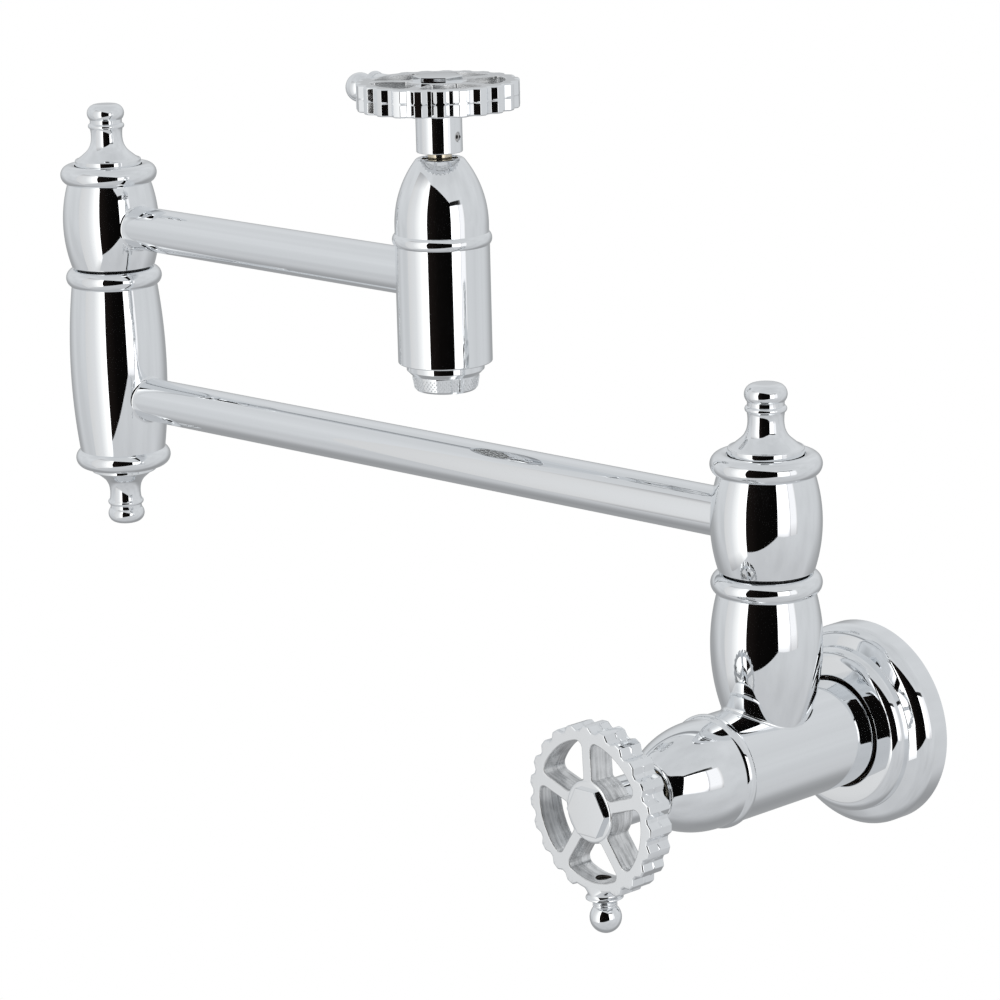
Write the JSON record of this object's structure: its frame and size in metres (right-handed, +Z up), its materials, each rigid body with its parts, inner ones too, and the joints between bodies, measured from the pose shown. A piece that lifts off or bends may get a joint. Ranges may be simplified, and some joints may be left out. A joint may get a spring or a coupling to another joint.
{
  "type": "wall mounted pot filler",
  "caption": "Wall mounted pot filler tap with two swinging arms, a stepped flange, turned columns, a valve at the wall and one at the spout, each with a toothed wheel.",
  "frame": {"origin": "where the axis of the wall valve meets the wall", "axes": "+Y goes into the wall along the inlet, +Z is up, and the tap stands out towards -Y"},
  "size_m": [0.3545, 0.128, 0.2473],
  "materials": {
    "polished_chrome": "mirror polished plating",
    "bare_brass": "machined",
    "stainless_steel": "turned, lightly polished",
    "black_rubber": "moulded",
    "foam": "closed-cell foam",
    "slip_plastic": "moulded, waxy",
    "white_plastic": "moulded",
    "ceramic": "lapped ceramic"
  },
  "bodies": {
    "root": {"wall_flange": "polished_chrome", "wall_gasket": "foam", "flange_o_ring": "black_rubber", "valve_body": "polished_chrome", "lower_bonnet": "polished_chrome", "lower_cartridge": "bare_brass", "lower_seat_seal": "black_rubber", "lower_fixed_disc": "ceramic", "lower_pivot": "bare_brass", "lower_pivot_o_rings": "black_rubber", "lower_thrust_washer": "slip_plastic", "lower_retaining_washer": "bare_brass", "lower_retaining_nut": "bare_brass"},
    "lower_handle": {"lower_stem": "stainless_steel", "lower_stem_clip": "stainless_steel", "lower_stem_o_ring": "black_rubber", "lower_moving_disc": "ceramic", "lower_handwheel": "polished_chrome", "lower_hex_cap": "polished_chrome", "lower_set_screw": "stainless_steel", "lower_ball_knob": "polished_chrome", "lower_knob_screw": "stainless_steel"},
    "lower_arm": {"lower_swivel_barrel": "polished_chrome", "lower_finial": "polished_chrome", "lower_arm_tube": "polished_chrome", "elbow_barrel": "polished_chrome", "elbow_bottom_finial": "polished_chrome", "elbow_pivot": "bare_brass", "elbow_pivot_o_rings": "black_rubber", "elbow_thrust_washer": "slip_plastic", "elbow_retaining_washer": "bare_brass", "elbow_retaining_nut": "bare_brass"},
    "upper_arm": {"upper_swivel_barrel": "polished_chrome", "upper_finial": "polished_chrome", "upper_arm_tube": "polished_chrome", "spout_body": "polished_chrome", "spout_bonnet": "polished_chrome", "spout_cartridge": "bare_brass", "spout_seat_seal": "black_rubber", "spout_fixed_disc": "ceramic", "aerator_housing": "polished_chrome", "aerator_insert": "white_plastic", "aerator_screen": "stainless_steel", "aerator_washer": "black_rubber"},
    "upper_handle": {"spout_stem": "stainless_steel", "spout_stem_clip": "stainless_steel", "spout_stem_o_ring": "black_rubber", "spout_moving_disc": "ceramic", "spout_handwheel": "polished_chrome", "spout_hex_cap": "polished_chrome", "spout_set_screw": "stainless_steel", "spout_ball_knob": "polished_chrome", "spout_knob_screw": "stainless_steel"}
  },
  "joints": [
    {"name": "lower_arm_swing", "type": "hinge", "parent": "root", "child": "lower_arm", "pos_m": [0, -0.048, 0.0565], "axis": [0, 0, 1], "range_deg": [-5.7, 174.3]},
    {"name": "elbow_swing", "type": "hinge", "parent": "lower_arm", "child": "upper_arm", "pos_m": [-0.30349, -0.07829, 0.1205], "axis": [0, 0, 1], "continuous": true},
    {"name": "lower_valve_turn", "type": "hinge", "parent": "root", "child": "lower_handle", "pos_m": [0, -0.048, 0], "axis": [0, -1, 0], "range_deg": [0, 90]},
    {"name": "upper_valve_turn", "type": "hinge", "parent": "upper_arm", "child": "upper_handle", "pos_m": [-0.12882, -0.06761, 0.1401], "axis": [0, 0, 1], "range_deg": [0, 90]}
  ]
}
